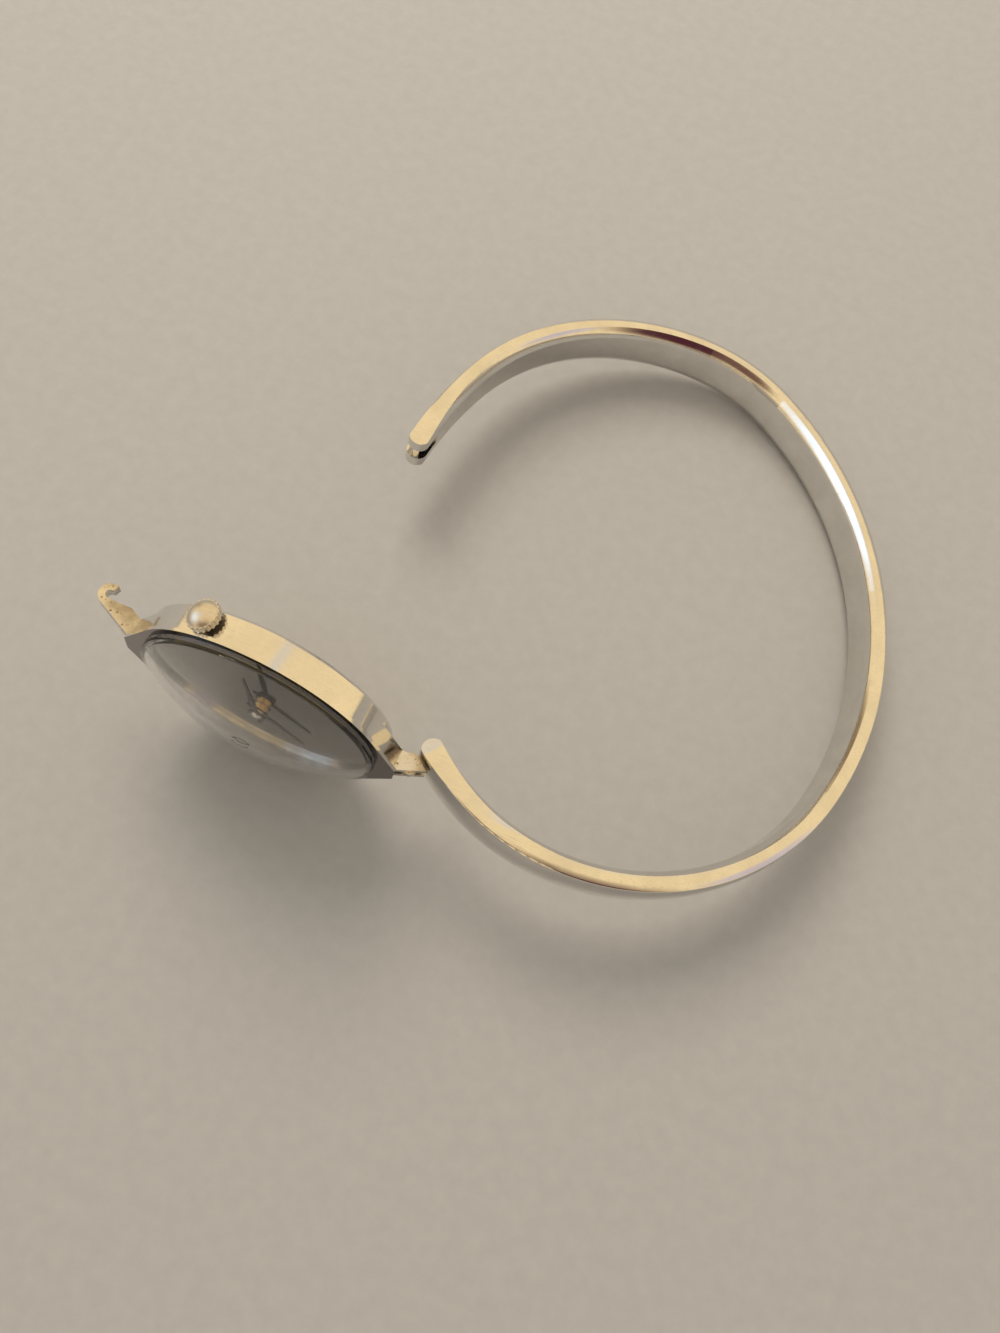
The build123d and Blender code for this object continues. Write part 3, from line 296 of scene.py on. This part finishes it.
# %% [markdown]
# Filed and soldered metal for the hinge and hook
# These small pieces are cut from strip, filed to shape and soldered. They are duller than the case and
# show pits, which are darker because dirt stays in them.

# %% Soldered metal
soldered = metal(
    "filed soldered metal", (pits, {"Scale": 2.2}),
    clean=(0.74, 0.7, 0.63), dull=(0.3, 0.24, 0.17), smooth=0.2, rough=0.5,
    depth=-60 * MICROMETRES, strength=0.8,
)

# %% [markdown]
# Painted shade on the front faces
# The ring round the crystal and the front of the hinge look nearly black in the photograph, while the
# side of the case is bright, because these faces mirror the floor in the shade under the watch. These
# faces all point the way the dial does. So a group compares each surface's own normal with that direction
# and gives a mask, and the mask paints that shade into the colour of only those faces. The normal is
# taken in the object's own space, so the mask stays in place when the head swings.

# %% Group for the painted shade on the front faces
FRONT_DIRECTION = (0.00502, -0.99481, 0.10167)
PAINTED_SHADE_CUT = (0.93, 0.985)


def make_painted_shade_mask():
    group, start, end = start_group("painted shade on front faces", "Normal", {}, "Painted shade")
    facing = dot_product(group, start.outputs["Normal"], FRONT_DIRECTION)
    return end_group(group, end, ranged(group, facing, PAINTED_SHADE_CUT))


painted_shade_mask = make_painted_shade_mask()

# %% [markdown]
# Two metals with painted shade on the front
# A copy of a material keeps its whole network. The copy then gets one more mix, between what fed its
# colour before and the painted dark shade.

# %% Metals with painted shade on the front
def with_painted_front_shade(source, name, shade):
    material = source.copy()
    material.name = name
    tree = material.node_tree
    colour = tree.nodes["Principled BSDF"].inputs["Base Color"]
    mask = add_node(tree, "ShaderNodeGroup", node_tree=painted_shade_mask)
    coordinates = add_node(tree, "ShaderNodeTexCoord")
    join(tree, coordinates.outputs["Normal"], mask.inputs["Normal"])
    before = colour.links[0].from_socket
    join(tree, mixed(tree, mask.outputs["Painted shade"], before, shade), colour)
    print("material", name)
    return material


# Painted shade: the case and the hinge's ears are darkened on the faces that point the way the dial does.
case_metal_painted_shade = with_painted_front_shade(polished, "polished case metal, painted front shade", (0.2, 0.175, 0.17))
ear_metal_painted_shade = with_painted_front_shade(soldered, "soldered hinge metal, painted front shade", (0.22, 0.19, 0.18))

# %% [markdown]
# Satin metal for the crown
# The crown is turned and knurled, and it is rubbed by a thumb each morning. It reflects softly, without
# the sharp picture of the room that the case shows. So its roughness is higher than the case's, and its
# marks are a grain.

# %% Satin metal
satin = metal(
    "satin crown metal", (grain, {"Fineness": 8.0}),
    clean=(0.78, 0.74, 0.67), dull=(0.6, 0.55, 0.48), smooth=0.24, rough=0.42,
    depth=10 * MICROMETRES, strength=0.35,
)

# %% [markdown]
# Metals inside the case
# Nobody sees the movement until the back is off, but it is part of the watch. Its plates are nickel with
# a straight grain, its wheels gilt, its steel parts polished or blued by heat.

# %% Metals of the movement
nickel = metal(
    "grained nickel", (grain,),
    clean=(0.74, 0.71, 0.66), dull=(0.66, 0.63, 0.58), smooth=0.22, rough=0.38,
    depth=6 * MICROMETRES, strength=0.3,
)
gilt = metal(
    "gilt brass", (grain,),
    clean=(0.86, 0.63, 0.28), dull=(0.74, 0.5, 0.2), smooth=0.18, rough=0.34,
    depth=4 * MICROMETRES, strength=0.2,
)
steel = metal(
    "polished steel", (scratches,),
    clean=(0.7, 0.7, 0.7), dull=(0.6, 0.6, 0.6), smooth=0.12, rough=0.28,
    depth=-3 * MICROMETRES, strength=0.2,
)
blued = metal(
    "blued steel", (grain,),
    clean=(0.05, 0.08, 0.26), dull=(0.03, 0.05, 0.18), smooth=0.16, rough=0.3,
    depth=3 * MICROMETRES, strength=0.2,
)

# %% [markdown]
# Mirror dial and dark hands
# The dial is a dark mirror: it shows each hand twice, once directly and once reflected. That is a metal
# with a dark base colour and almost no roughness. The hands are thin dark steel.

# %% Dial and hands
dial_mirror = metal(
    "dark mirror dial", (scratches, {"Fineness": 5.0}),
    clean=(0.2, 0.185, 0.18), dull=(0.16, 0.15, 0.145), smooth=0.05, rough=0.12,
    depth=-2 * MICROMETRES, strength=0.1,
)
hand_metal = metal(
    "dark hand steel", (grain,),
    clean=(0.02, 0.018, 0.018), dull=(0.035, 0.03, 0.03), smooth=0.25, rough=0.4,
    depth=2 * MICROMETRES, strength=0.2,
)

# %% [markdown]
# The clear crystal
# The crystal is acrylic, which bends light about as much as glass. Its faint scratches only roughen it.
# The triangles of a dome all meet in one point at its middle, and there the smoothed normal can lean the
# wrong way, which shows as a dark spot. So where it leans away from the triangle's own, that one is used.

# %% Crystal
CRYSTAL_TINT = (0.99, 0.99, 0.985)
CRYSTAL_INDEX = 1.52       # of refraction
CRYSTAL_ROUGHNESS = (0.0, 0.12)
NORMALS_AGREE = 0.997      # the least dot product of the smoothed normal and the triangle's own


def mended_normal(tree):
    surface = add_node(tree, "ShaderNodeNewGeometry")
    smoothed, own = surface.outputs["Normal"], surface.outputs["True Normal"]
    leaning = combined(tree, "LESS_THAN", dot_product(tree, smoothed, own), NORMALS_AGREE)
    return mixed(tree, leaning, smoothed, own, kind="VECTOR")


def make_crystal_material():
    material, tree, shader = new_material("clear acrylic")
    shader.inputs["Base Color"].default_value = (*CRYSTAL_TINT, 1.0)
    shader.inputs["IOR"].default_value = CRYSTAL_INDEX
    shader.inputs["Transmission Weight"].default_value = 1.0
    lines = marks_from(tree, scratches, {"Fineness": 6.0})
    join(tree, ranged(tree, lines, (0.0, 1.0), CRYSTAL_ROUGHNESS), shader.inputs["Roughness"])
    join(tree, mended_normal(tree), shader.inputs["Normal"])
    return material


crystal_clear = make_crystal_material()

# %% [markdown]
# Red, black and grey
# The bearing jewels are red stones, the gaskets black rubber, and the ring round the movement is grey
# plastic. Each still gets some variation, because no real surface is one flat colour.

# %% Jewels, rubber and plastic
PLAIN_BUMP_STRENGTH = 0.3


def plain_solid(name, group, clean, dull, smooth, rough, depth):
    material, tree, shader = new_material(name)
    marks = marks_from(tree, group)
    worn(tree, shader, marks, clean, dull, smooth, rough)
    bumped(tree, shader, marks, depth, PLAIN_BUMP_STRENGTH)
    return material


ruby = plain_solid(
    "red jewel", haze, clean=(0.5, 0.02, 0.06), dull=(0.65, 0.04, 0.1),
    smooth=0.05, rough=0.15, depth=2 * MICROMETRES,
)
rubber = plain_solid(
    "black rubber", haze, clean=(0.02, 0.02, 0.02), dull=(0.04, 0.04, 0.04),
    smooth=0.6, rough=0.8, depth=10 * MICROMETRES,
)
ring_plastic = plain_solid(
    "grey moulded ring", grain, clean=(0.42, 0.42, 0.41), dull=(0.5, 0.5, 0.49),
    smooth=0.45, rough=0.6, depth=10 * MICROMETRES,
)

# %% [markdown]
# Handing out the materials
# The imported record says which material slot each solid has, so one table from slot to material dresses
# them all. Three pieces differ from the rest of their slot: the crown is duller, and the case and the
# hinge's ears have painted shade on their front faces. The solids' meshes are never touched.

# %% Dress the solids
finish_of = {
    "silver_steel": polished,
    "solder_metal": soldered,
    "crystal_clear": crystal_clear,
    "dial_dark": dial_mirror,
    "hand_dark": hand_metal,
    "nickel": nickel,
    "gilt": gilt,
    "steel": steel,
    "blue_steel": blued,
    "ruby": ruby,
    "seal": rubber,
    "ring_plastic": ring_plastic,
}
# The case and the hinge's ears carry painted shade on their front faces; the crown has a satin finish of
# its own.
own_finish_and_painted_shade = {"crown": satin, "case_body": case_metal_painted_shade, "hinge_ears": ear_metal_painted_shade}
for name, solid in frame["nodes"].items():
    solid.data.materials.clear()
    solid.data.materials.append(own_finish_and_painted_shade.get(name, finish_of[slot_of[name]]))
print("dressed", len(frame["nodes"]), "solids, of them", len(own_finish_and_painted_shade), "in a finish of their own")

# %% [markdown]
# The table
# A pale, plain, matt surface. It is so large that its edge lies far away from the watch in every view,
# and it lies just under the watch so that the two never share a plane.

# %% Floor
FLOOR_HALF = 1.2           # metres
FLOOR_DROP = 0.00002
FLOOR_CORNERS = ((-1, -1), (1, -1), (1, 1), (-1, 1))
FLOOR_ROUGHNESS = 0.9
FLOOR_COLOURS = ((0.44, 0.405, 0.355), (0.47, 0.433, 0.38))


def make_floor():
    mesh = bpy.data.meshes.new("table")
    corners = [(x * FLOOR_HALF, y * FLOOR_HALF, -FLOOR_DROP) for x, y in FLOOR_CORNERS]
    mesh.from_pydata(corners, [], [(0, 1, 2, 3)])
    floor = bpy.data.objects.new("table", mesh)
    bpy.context.collection.objects.link(floor)
    material, tree, shader = new_material("pale table")
    shader.inputs["Roughness"].default_value = FLOOR_ROUGHNESS
    patches = marks_from(tree, haze, {"Scale": 0.6})
    join(tree, mixed(tree, patches, *FLOOR_COLOURS), shader.inputs["Base Color"])
    mesh.materials.append(material)
    return floor


make_floor()

# %% [markdown]
# The camera
# The photograph was taken with a phone held above the watch. Its angle was worked out from the shape of
# the crystal's rim and the run of the band, and is written as three directions and a place, in metres.
# A phone's usual wide lens sees as much as a 27 mm lens does on a frame that is 36 mm high. The camera
# takes its frame size for the longer side of the picture, which here is the height.

# %% Camera
LOOK_RIGHT = Vector((0.906635, 0.415964, 0.070621))
LOOK_UP = Vector((-0.416469, 0.855493, 0.30771))
LOOK_BACK = Vector((0.067581, -0.308392, 0.948856))
CAMERA_PLACE = Vector((0.00673, -0.047611, 0.108391))
FRAME_HEIGHT = 36.0        # millimetres
PHOTO_HEIGHT = 1333        # pixels
FOCAL_PIXELS = 1000
NEAREST_SEEN = 0.005       # metres

camera_data = bpy.data.cameras.new("camera")
camera_data.sensor_width = FRAME_HEIGHT
camera_data.lens = FRAME_HEIGHT * FOCAL_PIXELS / PHOTO_HEIGHT
camera_data.clip_start = NEAREST_SEEN
camera = bpy.data.objects.new("camera", camera_data)
bpy.context.collection.objects.link(camera)
camera_turn = Matrix((LOOK_RIGHT, LOOK_UP, LOOK_BACK)).transposed().to_4x4()
camera.matrix_world = Matrix.Translation(CAMERA_PLACE) @ camera_turn
bpy.context.scene.camera = camera
print("camera", [round(v, 4) for v in camera.location], "lens", round(camera_data.lens, 2))

# %% [markdown]
# The light
# A mirror shows only what is around it, so for polished metal the surroundings matter more than the
# lamps. The metal in the photograph mirrors a warm cream room in nearly every direction, a cool window at
# the left, a paler wall at the lower right and a dark red patch at the near side. The world is built from
# the same things. Each is a soft patch of colour in one direction, made from the angle between that
# direction and the one looked in. A row of four small grey patches, one above the other, is a streak.
# Plain surfaces would turn yellow in such a room. So only reflections and glass see the room, and all
# else is lit by an even, nearly neutral sky, in which a colour comes out as it is written.

# %% World
ROOM_COLOUR = (1.06, 0.82, 0.46)
SKY_COLOUR = (0.64, 0.625, 0.6)
STREAK_HEIGHTS = (68.0, 58.0, 48.0, 38.0)
ROOM_PATCHES = (
    # direction round the watch, height, inner and outer reach in degrees, colour
    (204.0, 28.0, 10.0, 30.0, (1.35, 1.5, 1.68)),
    (186.0, 54.0, 4.0, 18.0, (1.0, 1.0, 0.98)),
    (-8.0, 20.0, 6.0, 20.0, (0.72, 0.62, 0.64)),
    (-62.0, 27.0, 12.0, 36.0, (0.09, 0.022, 0.03)),
    (-98.0, 30.0, 6.0, 24.0, (0.2, 0.1, 0.07)),
    (146.0, 4.0, 4.0, 14.0, (0.3, 0.2, 0.11)),
    *((70.0, height, 1.0, 6.0, (0.8, 0.76, 0.7)) for height in STREAK_HEIGHTS),
)


def direction_of(turn, height):
    turn, height = math.radians(turn), math.radians(height)
    level = math.cos(height)
    return Vector((level * math.cos(turn), level * math.sin(turn), math.sin(height)))


def make_world():
    world = bpy.data.worlds.new("soft studio")
    world.use_nodes = True
    tree = world.node_tree
    looked_in = add_node(tree, "ShaderNodeTexCoord").outputs["Generated"]
    room = ROOM_COLOUR
    for turn, height, inner, outer, patch in ROOM_PATCHES:
        angle = dot_product(tree, looked_in, direction_of(turn, height))
        ends = (math.cos(math.radians(outer)), math.cos(math.radians(inner)))
        share = ranged(tree, angle, ends, interpolation_type="SMOOTHSTEP")
        room = mixed(tree, share, room, patch)
    path = add_node(tree, "ShaderNodeLightPath").outputs
    mirrored = combined(tree, "MAXIMUM", path["Is Glossy Ray"], path["Is Transmission Ray"])
    seen = mixed(tree, mirrored, SKY_COLOUR, room)
    join(tree, seen, tree.nodes["Background"].inputs["Color"])
    bpy.context.scene.world = world
    print("world with", len(ROOM_PATCHES), "patches")


make_world()

# %% [markdown]
# One large lamp
# The lamp only gives the shadow a direction. It is wide and hangs close, so the shadow's edge is soft.
# Mirrors don't show it, because its square shape on a flat face would hide the metal's own colour.

# %% Lamp
LAMP_PLACE = Vector((-0.2, 0.27, 0.4))
LAMP_SIZE = 0.26
LAMP_POWER = 1.6
LAMP_COLOUR = (1.0, 0.96, 0.9)

lamp_data = bpy.data.lights.new("soft lamp", "AREA")
lamp_data.size = LAMP_SIZE
lamp_data.energy = LAMP_POWER
lamp_data.color = LAMP_COLOUR
lamp = bpy.data.objects.new("soft lamp", lamp_data)
bpy.context.collection.objects.link(lamp)
lamp.visible_glossy = False
lamp.location = LAMP_PLACE
lamp.rotation_mode = "QUATERNION"
lamp.rotation_quaternion = (-LAMP_PLACE).to_track_quat("-Z", "Y")
print("lamp of", LAMP_POWER, "W,", round(LAMP_PLACE.length, 2), "m away")

# %% [markdown]
# Finish
# The view transform is Standard, so colours come out as they are written.

# %% Finish
bpy.context.scene.view_settings.view_transform = "Standard"
